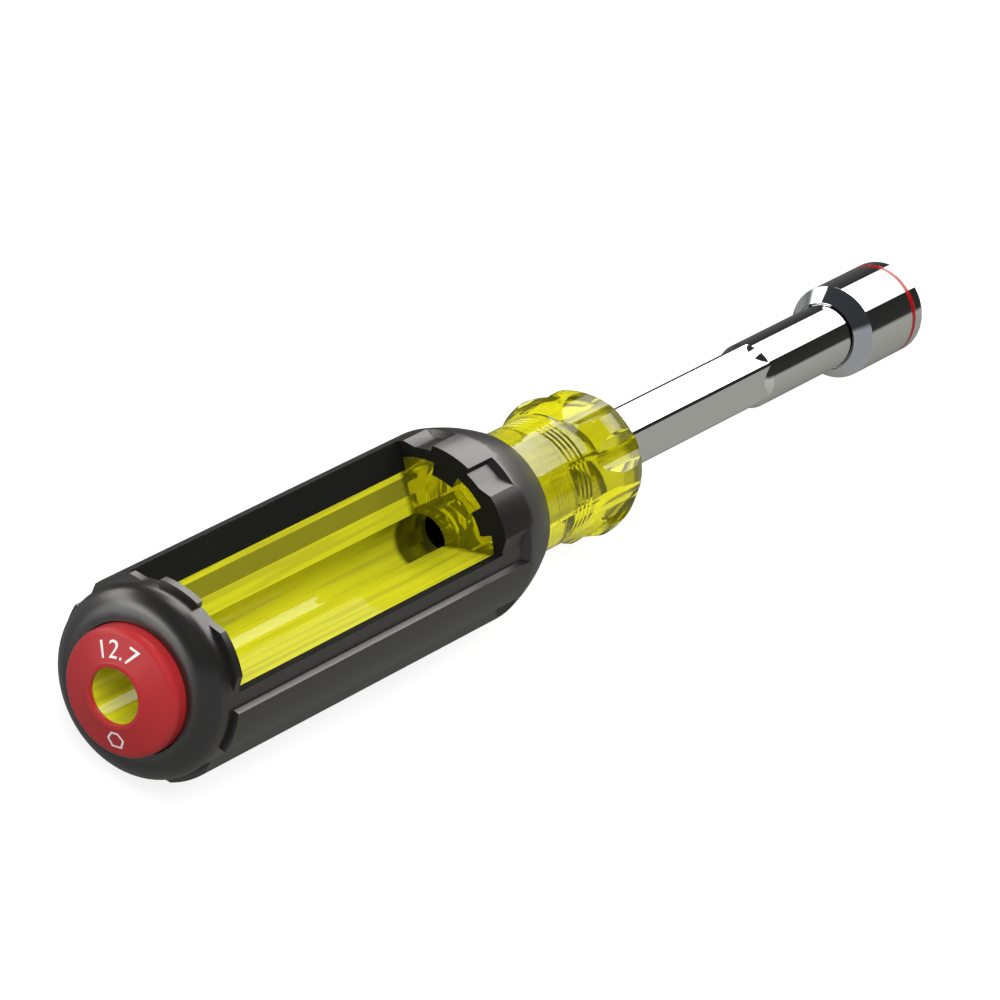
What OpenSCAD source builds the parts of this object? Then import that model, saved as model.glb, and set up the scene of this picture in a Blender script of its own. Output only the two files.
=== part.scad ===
// Hollow-shaft nut driver with a cushion grip over a see-through core.
// A window is cut through one side of the handle, so the bore can be seen.
// The tool lies along X with its socket at +X and the middle of its window upwards.

/* [Handle core] */
// Diameter of the core between its ribs
core_d = 26; // [22:0.1:34]
// Height of the core's ribs, which lie under the flutes of the grip
rib_h = 2.4; // [1:0.1:4]
// Half of the angle that one rib takes
rib_half_angle = 12.5; // [8:0.5:16]
// Length of the plain boss behind the ribs
boss_len = 6.5; // [4:0.1:7]
// Distance from the grip's front edge back to the ribs' front ends
rib_setback = 5.5; // [4:0.1:10]
// Distance from the grip's front edge back to where the core starts to narrow
neck_setback = 3; // [1:0.1:4]
// Bore through the end cap and the core, behind the shaft
handle_bore_d = 10.2; // [9:0.1:12]
// Distance from the grip's front edge to the straight waist
throat_len = 12; // [6:0.1:20]
// Narrowest diameter of the core, in front of the grip
waist_d = 23.8; // [20:0.1:27]
// Length of the straight waist
waist_len = 7.8; // [6:0.1:12]
// Diameter over the lobes of the front collar
collar_d = 28.4; // [26:0.1:36]
// Length of the collar from the end of its flare to its front face
collar_len = 12.2; // [9:0.1:20]
// Length of the collar's straight crown, behind its rounded front
crown_len = 0.8; // [0.2:0.1:6]
// Length of the flare between the waist and the collar
flare_len = 7.4; // [3:0.1:12]
// Diameter of the collar's flat front face
collar_face_d = 14.2; // [14:0.1:18]
// Radius of each scallop between two lobes
scallop_r = 5.3; // [3:0.1:8]
// Depth of each scallop below the lobes
scallop_depth = 2; // [0.5:0.05:2.2]
// Number of fine grooves round the waist
groove_count = 4; // [1:1:6]
// Distance from one fine groove to the next
groove_pitch = 1.35; // [1:0.05:2]
// Depth of a fine groove
groove_depth = 0.35; // [0.1:0.05:0.6]
// Half of a fine groove's width
groove_half_w = 0.35; // [0.1:0.05:0.5]
// Distance from the flare back to the front fine groove
groove_setback = 1.6; // [0.5:0.1:3]

/* [Cushion grip] */
// Length of the grip
grip_len = 106; // [90:0.5:140]
// Rubber over the core's ribs, at the bottom of a flute
cushion_t = 2; // [1:0.1:4]
// Depth of the flutes between the raised lands
flute_depth = 1.1; // [0.5:0.05:2]
// Half of the angle that the top of one land takes
land_half_angle = 12.6; // [8:0.1:15]
// Angle that the sloping flank of every second land takes
flank_angle = 8; // [2:0.5:9]
// Angle that the steep flank of the other lands takes
steep_angle = 1; // [0.5:0.1:2]
// Radius of the rounded butt
butt_round = 4.6; // [3:0.1:5.5]
// Distance from the back of the grip to where the lands start
land_setback = 5.8; // [4:0.1:10]
// Length of the plain ring between the lands' front ends and the taper
ring_len = 0.7; // [0.4:0.1:6]
// Length of the taper at the front
taper_len = 10.9; // [6:0.1:16]
// Diameter of the grip's front edge
nose_d = 29.8; // [27:0.1:33]
// How much the taper bulges out from a straight cone
taper_crown = 0.35; // [0:0.05:0.8]

/* [Window] */
// Distance from the back of the grip to the window
window_setback = 7.4; // [6:0.1:15]
// Distance from the front of the window to the lands' front ends
window_wall = 7.4; // [2:0.1:40]
// Angle that the window takes
window_angle = 104; // [60:1:120]
// Angle from the middle of the window to the nearest scallop between two lobes
window_turn = 15.5; // [0:0.5:22.5]

/* [End cap] */
// Diameter of the end cap
cap_d = 23.3; // [20:0.1:25]
// How far the cap's lip stands out behind the grip
cap_proud = 4.6; // [3:0.1:7]
// Height of the cap's rim below its lip
cap_dome = 2.9; // [2:0.1:4]
// Radius of the cap's rounded rim
cap_round = 1.5; // [0.5:0.1:2]
// Thickness of the cap from its lip to the seat on the core
cap_t = 6.5; // [5:0.1:9]
// Width of the raised lip round the hole
lip_w = 0.8; // [0.4:0.1:1.5]
// Height of the raised lip
lip_h = 0.2; // [0.1:0.05:0.5]
// Thickness of the cap's domed face
cap_face_t = 1.1; // [0.6:0.1:2]
// Thickness of the cap's side wall, which is pressed over the core's back end
cap_wall = 1.5; // [0.8:0.1:2.5]

/* [Shaft] */
// Length of shaft and socket in front of the handle
exposed_len = 101.6; // [80:0.1:160]
// Length of shaft inside the handle
tang_len = 51; // [30:0.5:56]
// Width of the hexagonal shank across its flats
shank_af = 11.3; // [10.5:0.1:12]
// Diameter of the round neck
neck_d = 12.7; // [12:0.1:14]
// Length of the round neck, from the shank's corners to the socket
neck_len = 28.7; // [15:0.1:50]
// Length of the cone in which the flats run out
runout_len = 2.6; // [1.6:0.1:6]
// How far below the flats that cone starts
runout_sink = 0.1; // [0.05:0.05:0.3]
// Bore through the shaft
shaft_bore_d = 8.5; // [7:0.1:9.5]
// Length of the round pilot at the shaft's back end
pilot_len = 3; // [1:0.1:6]
// Diameter of the round pilot
pilot_d = 11; // [10.4:0.1:11.2]

/* [Socket] */
// Width of the hexagonal recess across its flats
hex_af = 12.8; // [12:0.1:14]
// Depth of the hexagonal recess
hex_depth = 11; // [6:0.1:13]
// Wall of the socket outside the recess's corners
socket_wall = 1.76; // [1.2:0.01:3]
// Length of the socket's straight part
socket_len = 18.8; // [17:0.1:30]
// Length of the cone behind the straight part
cone_len = 3.1; // [2:0.1:6]
// Web between the shaft's front end and the recess
web_t = 2.4; // [1:0.1:4]
// How much wider the web's hole is than the shaft's bore, on the radius
web_clear = 0.35; // [0.1:0.05:1]
// Chamfer round the mouth, outside
mouth_chamfer = 0.1; // [0.05:0.05:0.8]
// Width of the groove round the cone's foot
foot_groove_w = 0.35; // [0.2:0.05:1]
// Depth of the groove round the cone's foot
foot_groove_t = 0.4; // [0.2:0.05:1]
// Width of the colour band
band_w = 1.2; // [0.5:0.1:2.5]
// Distance from the mouth to the colour band
band_setback = 2.5; // [1:0.1:5]
// Thickness of the colour band
band_t = 0.3; // [0.2:0.05:0.6]

/* [Fits] */
// Clearance between two pieces that are fixed together
fit_gap = 0.05; // [0.02:0.01:0.15]
// Clearance round the end cap in the mouth of the grip
cap_gap = 0.25; // [0.1:0.05:0.5]

/* [Hidden] */
eps = 0.01;
fine = 96;
arc_steps = 14;
lobe_count = 8;
lobe_pitch = 360 / lobe_count;
land_sink = 0.2;
over_cut = 1;

core_r = core_d / 2;
rib_r = core_r + rib_h;
waist_r = waist_d / 2;
collar_r = collar_d / 2;
collar_face_r = collar_face_d / 2;
handle_bore_r = handle_bore_d / 2;
grip_back = cap_proud;
grip_front = grip_back + grip_len;
floor_r = rib_r + cushion_t;
land_r = floor_r + flute_depth;
land_back = grip_back + land_setback;
taper_back = grip_front - taper_len;
land_front = taper_back - ring_len;
nose_r = nose_d / 2;
cap_r = cap_d / 2;
cup_r = cap_r - cap_wall;
boss_r = cup_r - fit_gap;
cap_edge_angle = 75;
cap_edge_r = cap_r - cap_round * (1 - cos(cap_edge_angle));
cap_edge_z = cap_dome - cap_round * sin(cap_edge_angle);
mouth_r = cap_r + cap_gap;
core_back = cap_t + fit_gap;
rib_back = core_back + boss_len;
rib_front = grip_front - rib_setback;
window_back = grip_back + window_setback;
window_front = land_front - window_wall;
window_mid = 2.5 * lobe_pitch + window_turn;
boss_start_r = handle_bore_r / 2;
lip_foot_r = handle_bore_r + lip_w + lip_h;
waist_back = grip_front + throat_len;
flare_back = waist_back + waist_len;
groove_front = flare_back - groove_setback;
collar_back = flare_back + flare_len;
crown_front = collar_back + crown_len;
handle_len = collar_back + collar_len;
overall_len = handle_len + exposed_len;

shaft_back = handle_len - tang_len;
socket_front = overall_len;
socket_back = socket_front - socket_len;
socket_foot = socket_back - cone_len;
shank_front = socket_foot - neck_len;
recess_back = socket_front - hex_depth;
seat_front = recess_back - web_t;
neck_r = neck_d / 2;
pilot_r = pilot_d / 2;
shaft_bore_r = shaft_bore_d / 2;
web_hole_r = shaft_bore_r + web_clear;
flat_r = shank_af / 2;
hex_corner_r = hex_af / sqrt(3);
socket_r = hex_corner_r + socket_wall;

// Half of an ellipse's height at a share u of its length
function dome(u) = sqrt(max(0, 1 - u * u));
// Length of the ellipse that leaves the collar's flat face
function dome_len(run) = run / sqrt(1 - pow(collar_face_r / collar_r, 2));
// Place of the cap's sloping face at a radius
function cap_face(r) = lip_h + (r - lip_foot_r) * (cap_edge_z - lip_h) / (cap_edge_r - lip_foot_r);
// Smooth step from 0 to 1
function ease(u) = (1 - cos(180 * u)) / 2;

// Lays a piece that was drawn along Z on its place along X, and turns its angle window_mid upwards
module on_axis() {
  translate([-overall_len / 2, 0, 0]) rotate([90 - window_mid, 0, 0]) rotate([90, 0, 90]) children();
}

// A round solid from a list of [radius, place] points, closed along the axis
module turned(points) {
  last = len(points) - 1;
  rotate_extrude($fn = fine)
    polygon(concat([[0, points[0][1]]], points, [[0, points[last][1]]]));
}

// A round bar from one place to another
module bar(r, from, to) {
  translate([0, 0, from]) cylinder(r = r, h = to - from, $fn = fine);
}

// A round hole, a little longer than what it goes through
module hole(r, from, to) {
  bar(r, from - eps, to + eps);
}

// A hexagonal prism with two corners up and down
module hex_prism(af, from, to) {
  translate([0, 0, from]) rotate([0, 0, 30]) cylinder(d = af * 2 / sqrt(3), h = to - from, $fn = 6);
}

// The flat outline between two angles, out to a radius
module sector(r, from, to) {
  reach = r / cos((to - from) / 4);
  polygon([[0, 0], [reach * cos(from), reach * sin(from)],
    [reach * cos((from + to) / 2), reach * sin((from + to) / 2)],
    [reach * cos(to), reach * sin(to)]]);
}

// What the window takes out of the handle
module window_cut() {
  translate([0, 0, window_back]) linear_extrude(window_front - window_back)
    sector(land_r + over_cut, window_mid - window_angle / 2, window_mid + window_angle / 2);
}

// Ribs along the core, each with radial sides
module ribs(grow) {
  side = rib_half_angle + grow / core_r * 180 / PI;
  translate([0, 0, rib_back - grow]) linear_extrude(rib_front - rib_back + 2 * grow)
    intersection() {
      circle(r = rib_r + grow, $fn = fine);
      for (i = [0:lobe_count - 1]) sector(rib_r + over_cut, i * lobe_pitch - side, i * lobe_pitch + side);
    }
}

// The core's outside, grown by a clearance for the grip that is moulded round it
module core_form(grow) {
  neck_start = grip_front - neck_setback;
  boss_t = cap_face_t + fit_gap;
  turned(concat(
    [[boss_start_r, cap_face(boss_start_r) + boss_t], [boss_r, cap_face(boss_r) + boss_t], [boss_r, core_back]],
    [[cap_r + grow, core_back], [cap_r + grow, rib_back - grow], [core_r + grow, rib_back - grow]],
    [for (i = [0:arc_steps]) let (u = i / arc_steps)
      [core_r + grow + (waist_r - core_r) * ease(u), neck_start + (waist_back - neck_start) * u]],
    [for (i = [0:arc_steps]) let (u = i / arc_steps)
      [waist_r + grow + (collar_r - waist_r) * ease(u), flare_back + flare_len * u]],
    [for (i = [0:arc_steps]) let (u = i / arc_steps, run = handle_len - crown_front)
      [collar_r * dome(u * run / dome_len(run)), crown_front + run * u]]));
  ribs(grow);
}

// Scallops round the collar, one between each two lobes
module scallops() {
  for (i = [0:lobe_count - 1])
    rotate([0, 0, (i + 0.5) * lobe_pitch])
      translate([collar_r - scallop_depth + scallop_r, 0, flare_back])
        cylinder(r = scallop_r, h = collar_len + flare_len + over_cut, $fn = fine);
}

// Fine grooves round the waist
module waist_grooves() {
  for (i = [0:groove_count - 1])
    translate([0, 0, groove_front - i * groove_pitch])
      rotate_extrude($fn = fine)
        polygon([
          [waist_r - groove_depth, 0],
          [waist_r, -groove_half_w],
          [collar_r, -groove_half_w],
          [collar_r, groove_half_w],
          [waist_r, groove_half_w]]);
}

module handle_core() {
  color([0.86, 0.86, 0.12, 0.7]) on_axis() difference() {
    core_form(0);
    scallops();
    waist_grooves();
    hole(handle_bore_r, 0, shaft_back);
    hole(pilot_r + fit_gap, shaft_back - fit_gap, shaft_back + pilot_len);
    intersection() {
      hex_prism(shank_af + 2 * fit_gap, shaft_back + pilot_len - fit_gap, handle_len + over_cut);
      hole(neck_r + fit_gap, shaft_back, handle_len + over_cut);
    }
    window_cut();
  }
}

// Outline of one land: its top takes 'top' degrees either way, its flanks 'flank' more
module land(top, flank) {
  low = floor_r - land_sink;
  foot = top + flank * (land_r - low) / flute_depth;
  high = land_r + over_cut;
  polygon([
    [low * cos(foot), -low * sin(foot)],
    [land_r * cos(top), -land_r * sin(top)],
    [high * cos(top), -high * sin(top)],
    [high * cos(top), high * sin(top)],
    [land_r * cos(top), land_r * sin(top)],
    [low * cos(foot), low * sin(foot)]]);
}

// Raised lands along the grip, steep and sloping ones in turn
module lands() {
  translate([0, 0, land_back]) linear_extrude(land_front - land_back + ring_len / 2)
    intersection() {
      circle(r = land_r, $fn = 2 * fine);
      for (i = [0:lobe_count - 1])
        rotate((i + 0.5) * lobe_pitch) land(land_half_angle, i % 2 == 0 ? steep_angle : flank_angle);
    }
}

// The grip's outside without its lands: butt, flute floor and front ring
module grip_form() {
  turned(concat(
    [for (i = [0:arc_steps]) let (a = 90 * i / arc_steps)
      [floor_r - butt_round * (1 - sin(a)), grip_back + butt_round * (1 - cos(a))]],
    [[floor_r, land_front - flute_depth], [land_r, land_front]],
    [for (i = [0:arc_steps]) let (u = i / arc_steps)
      [land_r + (nose_r - land_r) * u + taper_crown * sin(180 * u), taper_back + taper_len * u]]));
}

module cushion_grip() {
  color([0.15, 0.15, 0.15]) on_axis() difference() {
    union() {
      grip_form();
      lands();
    }
    core_form(fit_gap);
    hole(mouth_r, grip_back, rib_back - fit_gap - eps);
    window_cut();
  }
}

module end_cap() {
  color([0.76, 0.2, 0.2]) on_axis() difference() {
    turned(concat(
      [[lip_foot_r - lip_h, 0], [lip_foot_r, lip_h]],
      [for (i = [0:arc_steps]) let (a = cap_edge_angle * (1 - i / arc_steps))
        [cap_r - cap_round * (1 - cos(a)), cap_dome - cap_round * sin(a)]],
      [[cap_r, cap_t]]));
    hole(handle_bore_r, 0, cap_t);
    turned([
      [boss_start_r, cap_face(boss_start_r) + cap_face_t],
      [cup_r, cap_face(cup_r) + cap_face_t],
      [cup_r, cap_t + over_cut]]);
  }
}

// The round bar that the shaft is made from, with the cone in which the flats end
module shaft_bar() {
  turned([
    [flat_r - runout_sink, shank_front - runout_len],
    [neck_r, shank_front],
    [neck_r, seat_front - fit_gap]]);
}

module hollow_shaft() {
  color([0.8, 0.8, 0.82]) on_axis() difference() {
    union() {
      intersection() {
        hex_prism(shank_af, shaft_back + pilot_len, shank_front);
        bar(neck_r, shaft_back + pilot_len, shank_front);
      }
      shaft_bar();
      bar(pilot_r, shaft_back, shaft_back + pilot_len);
    }
    hole(shaft_bore_r, shaft_back, seat_front);
  }
}

module drive_socket() {
  band_back = socket_front - band_setback - band_w;
  color([0.82, 0.82, 0.84]) on_axis() difference() {
    turned([
      [neck_r + foot_groove_w, socket_foot],
      [socket_r, socket_back],
      [socket_r, socket_front - mouth_chamfer],
      [socket_r - mouth_chamfer, socket_front]]);
    hole(neck_r + fit_gap, socket_foot, seat_front);
    hole(neck_r + foot_groove_w, socket_foot, socket_foot + foot_groove_t);
    hole(web_hole_r, seat_front, socket_front);
    hex_prism(hex_af, recess_back, socket_front + over_cut);
    translate([0, 0, band_back]) difference() {
      cylinder(r = socket_r + over_cut, h = band_w, $fn = fine);
      cylinder(r = socket_r - band_t, h = band_w, $fn = fine);
    }
  }
}

module color_band() {
  band_front = socket_front - band_setback;
  color([0.75, 0, 0]) on_axis()
    translate([0, 0, band_front - band_w + fit_gap / 2]) difference() {
      cylinder(r = socket_r, h = band_w - fit_gap, $fn = fine);
      translate([0, 0, -eps]) cylinder(r = socket_r - band_t + fit_gap / 2, h = band_w, $fn = fine);
    }
}

handle_core();
cushion_grip();
end_cap();
hollow_shaft();
drive_socket();
color_band();
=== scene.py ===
import math

import bmesh
import bpy
from mathutils import Matrix, Vector


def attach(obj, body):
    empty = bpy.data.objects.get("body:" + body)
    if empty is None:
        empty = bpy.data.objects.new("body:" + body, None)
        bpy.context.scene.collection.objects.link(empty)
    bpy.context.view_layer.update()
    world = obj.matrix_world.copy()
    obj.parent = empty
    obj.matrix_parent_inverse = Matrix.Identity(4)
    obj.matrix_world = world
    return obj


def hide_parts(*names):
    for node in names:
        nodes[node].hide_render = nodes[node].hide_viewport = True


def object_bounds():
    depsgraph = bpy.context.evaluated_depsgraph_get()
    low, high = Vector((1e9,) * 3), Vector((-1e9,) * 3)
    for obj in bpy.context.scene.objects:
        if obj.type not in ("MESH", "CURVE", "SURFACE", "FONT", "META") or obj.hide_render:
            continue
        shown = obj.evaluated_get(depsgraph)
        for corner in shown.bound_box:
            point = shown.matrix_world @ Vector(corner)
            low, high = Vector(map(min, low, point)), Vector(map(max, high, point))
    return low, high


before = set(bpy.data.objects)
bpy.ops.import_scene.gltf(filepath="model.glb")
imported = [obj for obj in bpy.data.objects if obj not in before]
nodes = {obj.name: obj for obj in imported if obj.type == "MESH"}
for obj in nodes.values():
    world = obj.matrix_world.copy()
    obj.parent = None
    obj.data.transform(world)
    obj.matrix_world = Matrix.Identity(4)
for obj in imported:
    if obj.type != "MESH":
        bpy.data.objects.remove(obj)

cad_low, cad_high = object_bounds()
mm = 0.001

# Handle core. See-through yellow plastic, injection moulded in one piece and
# polished. It is clearer in front of the grip than inside it, and the window
# is milled through it along the bore.
core_tint = (0.94, 0.92, 0.025, 1)
streak_tint = (0.74, 0.71, 0.03, 1)
painted_shade_tint = (0.34, 0.325, 0.02, 1)
depth_tint = (0.80, 0.78, 0.05, 1)
depth_density = 60
core_shine = {"IOR": 1.48, "Specular IOR Level": 0.3}
streak_stretch, streak_grain, streak_contrast = (0.03, 1, 1), 700, (0.38, 0.52)
milky_handle, clear_collar = 0.35, 0.92
turns_clear = (-36 * mm, -34.5 * mm)
window_sides = (math.radians(38), math.radians(142))
far_wall = (0, -math.sin(window_sides[0]), math.cos(window_sides[0]))
flush_with_wall = 0.99
shade_middle, shade_reach = 6.3 * mm, 1.05 * mm
core_edge, core_corner = 0.1 * mm, 25


def new_material(name, settings):
    """A material with these settings on its shader; its node tree and the shader."""
    made = bpy.data.materials.new(name)
    made.use_nodes = True
    bsdf = made.node_tree.nodes["Principled BSDF"]
    for entry, value in settings.items():
        bsdf.inputs[entry].default_value = value
    return made, made.node_tree, bsdf


def plug(tree, value, entry):
    """Link a socket to the entry, or set a number or a colour on it."""
    if isinstance(value, bpy.types.NodeSocket):
        tree.links.new(value, entry)
    else:
        entry.default_value = value


def reckon(tree, operation, *values):
    """The result of a Math node on sockets and numbers."""
    made = tree.nodes.new("ShaderNodeMath")
    made.operation = operation
    for value, entry in zip(values, made.inputs):
        plug(tree, value, entry)
    return made.outputs[0]


def levels(tree, value, low, high, first=0, last=1):
    """A value mapped from low and high to first and last, and held there beyond them."""
    made = tree.nodes.new("ShaderNodeMapRange")
    ends = {"From Min": low, "From Max": high, "To Min": first, "To Max": last}
    for entry, end in ends.items():
        made.inputs[entry].default_value = end
    tree.links.new(value, made.inputs["Value"])
    return made.outputs["Result"]


def blend(tree, factor, first, second):
    """One colour where the factor is 0, the other where it is 1."""
    made = tree.nodes.new("ShaderNodeMix")
    made.data_type = "RGBA"
    tree.links.new(factor, made.inputs["Factor"])
    plug(tree, first, made.inputs["A"])
    plug(tree, second, made.inputs["B"])
    return made.outputs["Result"]


def stretched_noise(tree, stretch, grain, detail):
    """Noise in the object's own coordinates, drawn out along the small numbers."""
    coord = tree.nodes.new("ShaderNodeTexCoord")
    place = tree.nodes.new("ShaderNodeMapping")
    place.inputs["Scale"].default_value = stretch
    tree.links.new(coord.outputs["Object"], place.inputs["Vector"])
    noise = tree.nodes.new("ShaderNodeTexNoise")
    noise.inputs["Scale"].default_value = grain
    noise.inputs["Detail"].default_value = detail
    tree.links.new(place.outputs["Vector"], noise.inputs["Vector"])
    return noise.outputs["Fac"]


def surface_detail(tree, bsdf, stretch, grain, depth, smooth, rough):
    """A fine bump, and a roughness that varies with it; the noise that both follow."""
    noise = stretched_noise(tree, stretch, grain, detail=3)
    bump = tree.nodes.new("ShaderNodeBump")
    bump.inputs["Distance"].default_value = depth
    tree.links.new(noise, bump.inputs["Height"])
    tree.links.new(bump.outputs["Normal"], bsdf.inputs["Normal"])
    tree.links.new(levels(tree, noise, 0, 1, smooth, rough), bsdf.inputs["Roughness"])
    return noise


def softened(node_name, name, radius, corner, material):
    """A copy of a solid, with the edges that turn more than corner degrees rounded."""
    weld, flat, crease = 0.002 * mm, math.radians(0.8), math.radians(40)
    soft = bmesh.new()
    soft.from_mesh(nodes[node_name].data)
    bmesh.ops.remove_doubles(soft, verts=soft.verts, dist=weld)
    bmesh.ops.dissolve_limit(
        soft, verts=soft.verts, edges=soft.edges, angle_limit=flat, delimit={"NORMAL"}
    )
    soft.normal_update()
    limit = math.radians(corner)
    edges = [e for e in soft.edges if e.is_manifold and e.calc_face_angle() > limit]
    bmesh.ops.bevel(
        soft, geom=edges, offset=radius, offset_type="OFFSET", affect="EDGES",
        segments=2, profile=0.5, material=-1, clamp_overlap=True,
    )
    for face in soft.faces:
        face.smooth = True
    mesh = bpy.data.meshes.new(name)
    soft.to_mesh(mesh)
    soft.free()
    mesh.set_sharp_from_angle(angle=crease)
    piece = bpy.data.objects.new(name, mesh)
    bpy.context.scene.collection.objects.link(piece)
    weigh = piece.modifiers.new("weighted normals", "WEIGHTED_NORMAL")
    weigh.keep_sharp = True
    mesh.materials.append(material)
    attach(piece, "root")
    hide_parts(node_name)
    return piece


core_plastic, tree, bsdf = new_material("core_plastic", core_shine)
surface_detail(
    tree, bsdf, stretch=(0.3, 1, 1), grain=260, depth=0.015 * mm, smooth=0, rough=0.02
)
coord = tree.nodes.new("ShaderNodeTexCoord")
where = tree.nodes.new("ShaderNodeSeparateXYZ")
tree.links.new(coord.outputs["Object"], where.inputs[0])
normal = tree.nodes.new("ShaderNodeSeparateXYZ")
tree.links.new(coord.outputs["Normal"], normal.inputs[0])
streaks = stretched_noise(tree, streak_stretch, streak_grain, detail=2)
end_on = reckon(tree, "ABSOLUTE", normal.outputs["X"])
unstreaked = reckon(tree, "MAXIMUM", levels(tree, streaks, *streak_contrast), end_on)
streaked = blend(tree, unstreaked, streak_tint, core_tint)
# Painted shade: a darker band along the middle of the window's far wall, inside the handle, stands
# in for the shade seen through the wall.
facing = tree.nodes.new("ShaderNodeVectorMath")
facing.operation = "DOT_PRODUCT"
facing.inputs[1].default_value = far_wall
tree.links.new(coord.outputs["Normal"], facing.inputs[0])
on_wall = reckon(tree, "GREATER_THAN", facing.outputs["Value"], flush_with_wall)
in_handle = reckon(tree, "LESS_THAN", where.outputs["X"], turns_clear[1])
in_middle = reckon(tree, "COMPARE", where.outputs["Z"], shade_middle, shade_reach)
on_handle_wall = reckon(tree, "MULTIPLY", on_wall, in_handle)
painted_shade_mask = reckon(tree, "MULTIPLY", on_handle_wall, in_middle)
tree.links.new(blend(tree, painted_shade_mask, streaked, painted_shade_tint), bsdf.inputs["Base Color"])
clear = levels(tree, where.outputs["X"], *turns_clear, milky_handle, clear_collar)
tree.links.new(clear, bsdf.inputs["Transmission Weight"])
absorb = tree.nodes.new("ShaderNodeVolumeAbsorption")
absorb.inputs["Color"].default_value = depth_tint
absorb.inputs["Density"].default_value = depth_density
tree.links.new(absorb.outputs[0], tree.nodes["Material Output"].inputs["Volume"])
softened("handle_core", "core", core_edge, core_corner, core_plastic)

# Cushion grip. Black rubber moulded over the core's ribs, satin, with a fine
# grain from its mould. The window's cut goes through it too and left a duller
# face.
rubber_shine = {
    "Base Color": (0.012, 0.0115, 0.011, 1),
    "Specular IOR Level": 1,
    "Specular Tint": (1, 0.975, 0.94, 1),
}
cut_shine = {"Base Color": (0.007, 0.007, 0.0065, 1), "Specular IOR Level": 0.15}
grip_edge, grip_corner = 0.16 * mm, 25
window_ends = (-113.8 * mm, -34.2 * mm)
near, end_on_least, radial_most = 0.2 * mm, 0.95, 0.1
rubber, tree, bsdf = new_material("grip_rubber", rubber_shine)
surface_detail(
    tree, bsdf, stretch=(1, 1, 1), grain=2600, depth=0.002 * mm, smooth=0.27, rough=0.33
)
grip = softened("cushion_grip", "grip", grip_edge, grip_corner, rubber)
rubber_cut, tree, bsdf = new_material("rubber_cut", cut_shine)
surface_detail(
    tree, bsdf, stretch=(0.1, 1, 1), grain=1200, depth=0.01 * mm, smooth=0.7, rough=0.85
)
grip.data.materials.append(rubber_cut)
# The cut's faces stand square to the axis at the window's ends, and lie in
# planes through the axis along its sides.
for face in grip.data.polygons:
    x, y, z = face.center
    nx, ny, nz = face.normal
    in_reach = z > 0 and window_ends[0] - near < x < window_ends[1] + near
    off_end = min(abs(x - end) for end in window_ends)
    off_side = min(abs(z * math.cos(side) - y * math.sin(side)) for side in window_sides)
    on_end = abs(nx) > end_on_least and off_end < near
    on_side = abs(ny * y + nz * z) < radial_most * math.hypot(y, z) and off_side < near
    if in_reach and (on_end or on_side):
        face.material_index = 1

# End cap. Red moulded plastic, a thin cup pressed over the back end of the
# core, with a faint grain from its mould.
cap_shine = {"Base Color": (0.43, 0.024, 0.027, 1), "Specular IOR Level": 0.35}
cap_edge, cap_corner = 0.1 * mm, 30
cap_plastic, tree, bsdf = new_material("cap_plastic", cap_shine)
surface_detail(
    tree, bsdf, stretch=(1, 1, 1), grain=1800, depth=0.006 * mm, smooth=0.32, rough=0.42
)
softened("end_cap", "cap", cap_edge, cap_corner, cap_plastic)

# Size marks. White ink, printed on the cone of the cap's face: the nut's width
# across its flats in millimetres above the hole, a nut's outline below it.
cone_back = cad_low[0] + 0.2 * mm
cone_foot_r, cone_slope = 6.1 * mm, 0.2818
marks_r, marks_up = 8.1 * mm, math.radians(56)
ink_t, ink_sink = 0.05 * mm, 0.01 * mm
figure_size, figure_gap = 4.3 * mm, 1.12
nut_r, nut_hole_r, nut_sides = 1.75 * mm, 1.35 * mm, 6
ink_tints = ((0.80, 0.79, 0.78, 1), (0.90, 0.89, 0.88, 1))


def print_on_cap(verts, turn):
    """Lay flat artwork on the cone of the cap's face, a little under its skin."""
    for vert in verts:
        r = marks_r + vert.co.y
        a = turn + vert.co.x / marks_r
        x = cone_back + (r - cone_foot_r) * cone_slope + ink_sink
        vert.co = (x, r * math.cos(a), r * math.sin(a))


writing = bpy.data.curves.new("marks", "FONT")
writing.body = "12.7"
writing.size = figure_size
writing.space_character = figure_gap
writing.align_x = "CENTER"
writing.align_y = "CENTER"
written = bpy.data.objects.new("marks", writing)
flat_marks = bpy.data.meshes.new_from_object(written)
bpy.data.objects.remove(written)
ink = bmesh.new()
ink.from_mesh(flat_marks)
bmesh.ops.remove_doubles(ink, verts=ink.verts, dist=0.001 * mm)
figures = ink.verts[:]
half_side = math.pi / nut_sides
nut = bmesh.ops.create_circle(
    ink, cap_ends=True, segments=nut_sides, radius=nut_r, matrix=Matrix.Rotation(half_side, 4, "Z")
)
nut_face = nut["verts"][0].link_faces[0]
nut_wall = (nut_r - nut_hole_r) * math.cos(half_side)
bmesh.ops.inset_individual(ink, faces=[nut_face], thickness=nut_wall, use_even_offset=True)
bmesh.ops.delete(ink, geom=[nut_face], context="FACES_ONLY")
outline = [vert for vert in ink.verts if vert not in figures]
print_on_cap(figures, marks_up)
print_on_cap(outline, marks_up + math.pi)
bmesh.ops.recalc_face_normals(ink, faces=ink.faces)
for face in ink.faces:
    if face.normal.x > 0:
        face.normal_flip()
top = bmesh.ops.extrude_face_region(ink, geom=ink.faces[:])
raised = [item for item in top["geom"] if isinstance(item, bmesh.types.BMVert)]
bmesh.ops.translate(ink, verts=raised, vec=(-ink_t - ink_sink, 0, 0))
bmesh.ops.recalc_face_normals(ink, faces=ink.faces)
marks_mesh = bpy.data.meshes.new("size_marks")
ink.to_mesh(marks_mesh)
ink.free()
marks = bpy.data.objects.new("size_marks", marks_mesh)
bpy.context.scene.collection.objects.link(marks)
white_ink, tree, bsdf = new_material("white_ink", {})
wear = surface_detail(
    tree, bsdf, stretch=(1, 1, 1), grain=1500, depth=0.004 * mm, smooth=0.4, rough=0.6
)
tree.links.new(blend(tree, wear, *ink_tints), bsdf.inputs["Base Color"])
marks_mesh.materials.append(white_ink)
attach(marks, "root")

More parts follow.
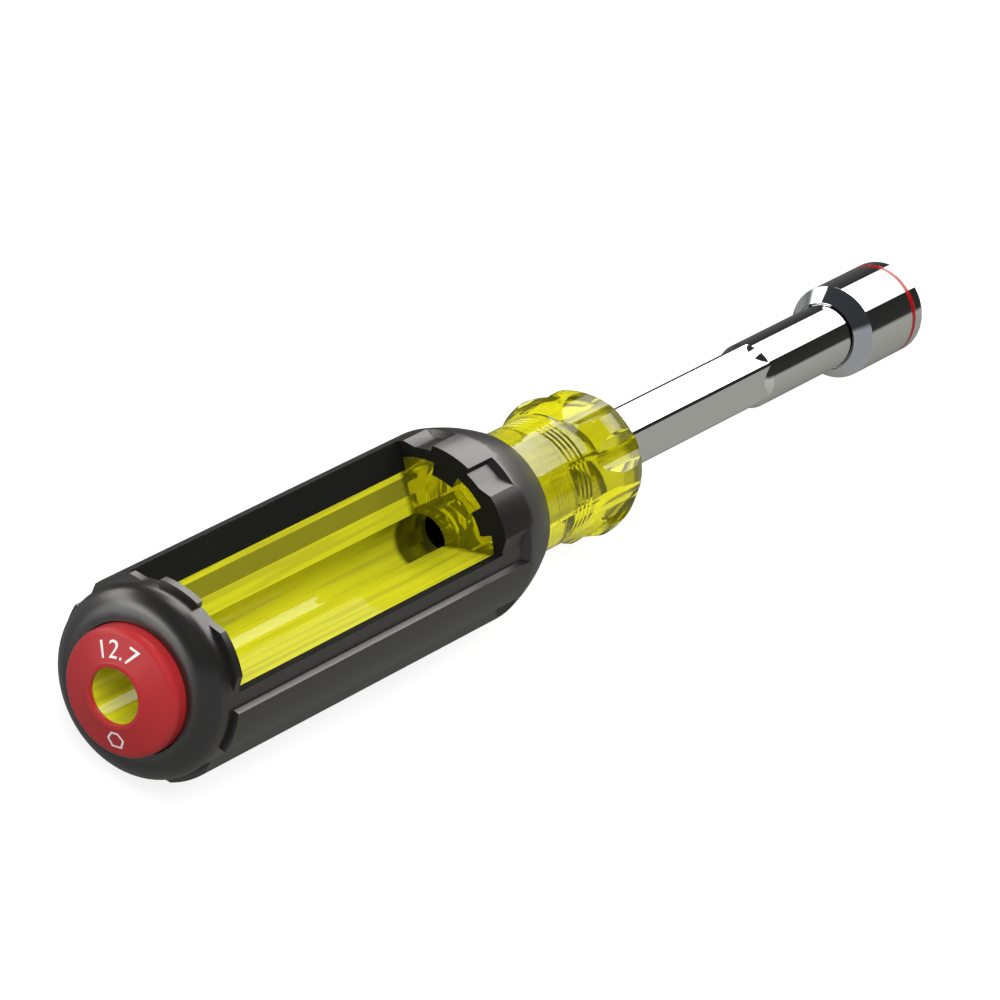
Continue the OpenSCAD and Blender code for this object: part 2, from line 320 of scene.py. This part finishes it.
# Hollow shaft. Steel bar, ground, polished along its length and chromed to a
# mirror; only the faintest polishing lines are left.
chrome_shine = {"Base Color": (0.86, 0.86, 0.865, 1), "Metallic": 1}
shaft_edge, steel_corner = 0.07 * mm, 12
chrome, tree, bsdf = new_material("chrome", chrome_shine)
surface_detail(
    tree, bsdf, stretch=(0.02, 1, 1), grain=3000, depth=0.0004 * mm, smooth=0.015, rough=0.045
)
softened("hollow_shaft", "shaft", shaft_edge, steel_corner, chrome)

# Drive socket. Steel, turned, broached and chromed like the shaft. The faces of the
# groove at its foot, where the joint is, get a dark matt material: painted shade.
groove_shade_shine = {"Base Color": (0.02, 0.02, 0.021, 1), "Specular IOR Level": 0.15}
socket_edge = 0.06 * mm
groove_low, groove_high, groove_end = 6.36 * mm, 6.73 * mm, 104.4 * mm
socket = softened("drive_socket", "socket", socket_edge, steel_corner, chrome)
painted_groove_shade, tree, bsdf = new_material("painted_groove_shade", groove_shade_shine)
surface_detail(
    tree, bsdf, stretch=(1, 1, 1), grain=2500, depth=0.004 * mm, smooth=0.8, rough=0.9
)
socket.data.materials.append(painted_groove_shade)
# Painted shade: the faces inside the foot groove take the dark matt material.
for face in socket.data.polygons:
    x, y, z = face.center
    if x < groove_end and groove_low < math.hypot(y, z) < groove_high:
        face.material_index = 1

# Colour band. Red enamel, sprayed into its groove near the socket's mouth and
# baked hard.
enamel_shine = {"Base Color": (0.42, 0.003, 0.003, 1)}
enamel, tree, bsdf = new_material("band_enamel", enamel_shine)
surface_detail(
    tree, bsdf, stretch=(1, 1, 1), grain=900, depth=0.002 * mm, smooth=0.1, rough=0.2
)
nodes["color_band"].material_slots[0].material = enamel

# Floor. A plain white sheet that the grip lies on. It is seen bright, keeps the
# tool's shadow and stays out of its reflections.
floor_z, floor_half = -18.5 * mm, 12
floor_shine = {"Base Color": (0.3, 0.3, 0.3, 1), "Roughness": 1, "Specular IOR Level": 0}
floor_glow = 0.85
sheet = bmesh.new()
bmesh.ops.create_grid(sheet, x_segments=1, y_segments=1, size=floor_half)
bmesh.ops.translate(sheet, verts=sheet.verts, vec=(0, 0, floor_z))
floor_mesh = bpy.data.meshes.new("floor")
sheet.to_mesh(floor_mesh)
sheet.free()
floor = bpy.data.objects.new("floor", floor_mesh)
bpy.context.scene.collection.objects.link(floor)
floor_white, tree, bsdf = new_material("floor_white", floor_shine)
path = tree.nodes.new("ShaderNodeLightPath")
seen = reckon(tree, "MULTIPLY", path.outputs["Is Camera Ray"], floor_glow)
glow = tree.nodes.new("ShaderNodeEmission")
tree.links.new(seen, glow.inputs["Strength"])
both = tree.nodes.new("ShaderNodeAddShader")
tree.links.new(bsdf.outputs[0], both.inputs[0])
tree.links.new(glow.outputs[0], both.inputs[1])
tree.links.new(both.outputs[0], tree.nodes["Material Output"].inputs["Surface"])
floor.data.materials.append(floor_white)
floor.visible_glossy = False
floor.visible_transmission = False

# Studio. Long white strips and grey walls beside the tool, each given by its
# angle in degrees round the X axis. Faces along the tool mirror the first set,
# faces that lean back the other two, and faces that lean forward a grey wall.
strip = (3.4, 3.35, 3.25)
first_angle = -69
beside = (
    (first_angle, (0.16, 0.16, 0.16)),
    (-20, (0.08, 0.08, 0.08)),
    (18, (0.03, 0.03, 0.03)),
    (22, strip),
    (102, strip),
    (105, (0.022, 0.022, 0.021)),
    (154, (0.03, 0.03, 0.028)),
    (162, (0.37, 0.37, 0.34)),
    (240, (0.28, 0.28, 0.25)),
    (285, (0.16, 0.16, 0.15)),
)
between = (
    (first_angle, (0.30, 0.31, 0.31)),
    (-28, (0.26, 0.27, 0.27)),
    (-12, (0.10, 0.10, 0.10)),
    (48, (0.034, 0.034, 0.034)),
    (51, strip),
    (70, strip),
    (73, (0.028, 0.028, 0.028)),
    (145, (0.03, 0.03, 0.03)),
    (156, (0.50, 0.49, 0.45)),
    (285, (0.20, 0.20, 0.20)),
)
behind = (
    (first_angle, (0.30, 0.32, 0.34)),
    (-12, (0.40, 0.42, 0.45)),
    (-2, strip),
    (13, strip),
    (17, (0.040, 0.047, 0.055)),
    (128, (0.034, 0.038, 0.042)),
    (139, (0.30, 0.32, 0.34)),
    (285, (0.30, 0.30, 0.30)),
)
wall_grey = (0.33, 0.33, 0.31, 1)
white = (1, 1, 1, 1)
behind_ends, between_ends, beside_ends = (0.15, 0.22), (0.5, 0.58), (0.92, 0.96)
world = bpy.data.worlds.new("studio")
bpy.context.scene.world = world
world.use_nodes = True
tree = world.node_tree
way = tree.nodes.new("ShaderNodeTexCoord")
split = tree.nodes.new("ShaderNodeSeparateXYZ")
tree.links.new(way.outputs["Generated"], split.inputs[0])
along, over = split.outputs["X"], split.outputs["Z"]
angle = reckon(tree, "ARCTAN2", over, split.outputs["Y"])
round_turn = reckon(tree, "MULTIPLY_ADD", angle, 1 / math.tau, -first_angle / 360)
share = reckon(tree, "FRACT", round_turn)


def strip_ramp(strips):
    """The strips and walls round the X axis as one colour ramp."""
    ramp = tree.nodes.new("ShaderNodeValToRGB")
    stops = ramp.color_ramp.elements
    while len(stops) < len(strips):
        stops.new(0.5)
    for stop, (degrees, tint) in zip(stops, strips):
        stop.position = (degrees - first_angle) / 360
    for stop, (degrees, tint) in zip(stops, strips):
        stop.color = (*tint, 1)
    tree.links.new(share, ramp.inputs["Fac"])
    return ramp.outputs["Color"]


leaning = blend(tree, levels(tree, along, *behind_ends), strip_ramp(behind), strip_ramp(between))
sides = blend(tree, levels(tree, along, *between_ends), leaning, strip_ramp(beside))
studio = blend(tree, levels(tree, along, *beside_ends), sides, wall_grey)

# Backdrop. What the camera sees is white. What shows through the plastic is
# white below and lengthways, grey above and dark to the sides.
lengthways, downward = (0.34, 0.42), (-0.35, -0.6)
grey_to_white, grey_above, white_below = (-0.1, -0.4), 0.65, 1.2
dark_beside = 0.18
endways = levels(tree, reckon(tree, "ABSOLUTE", along), *lengthways)
pale = reckon(tree, "MAXIMUM", endways, levels(tree, over, *downward))
paleness = levels(tree, over, *grey_to_white, grey_above, white_below)
through = reckon(tree, "MULTIPLY_ADD", pale, paleness, dark_beside)
path = tree.nodes.new("ShaderNodeLightPath")
lit = blend(tree, path.outputs["Is Transmission Ray"], studio, through)
seen = blend(tree, path.outputs["Is Camera Ray"], lit, white)
tree.links.new(seen, tree.nodes["Background"].inputs["Color"])

# Lamps. A low one behind the butt, which the rubber and the cap mirror as a soft
# sheen, and a high one that lights the window's walls and mirrors in nothing.
for name, place, size, power, mirrored in (
    ("key", (-0.85, 0.42, -0.12), 0.8, 2.5, True),
    ("fill", (-0.65, -0.1, 1.15), 1.0, 17.5, False),
):
    lamp = bpy.data.lights.new(name, "AREA")
    lamp.shape = "DISK"
    lamp.size = size
    lamp.energy = power
    lamp_object = bpy.data.objects.new(name, lamp)
    bpy.context.scene.collection.objects.link(lamp_object)
    lamp_object.location = place
    lamp_object.rotation_euler = (-Vector(place)).to_track_quat("-Z", "Y").to_euler()
    lamp_object.visible_glossy = mirrored
    lamp_object.visible_transmission = False

# Camera. At the photograph's viewing angle, with its long lens. It is rolled,
# because the tool lies with its window up.
eye = Vector((-0.99859, -0.28306, 0.73123))
aim = Vector((-0.00343, 0.00166, -0.00399))
roll = math.radians(36.792)
focal_length, film_width = 252, 36
lens = bpy.data.cameras.new("camera")
lens.lens = focal_length
lens.sensor_width = film_width
camera = bpy.data.objects.new("camera", lens)
bpy.context.scene.collection.objects.link(camera)
turned = (aim - eye).to_track_quat("-Z", "Y").to_matrix() @ Matrix.Rotation(roll, 3, "Z")
camera.matrix_world = Matrix.Translation(eye) @ turned.to_4x4()
bpy.context.scene.camera = camera
bpy.context.scene.view_settings.view_transform = "Standard"
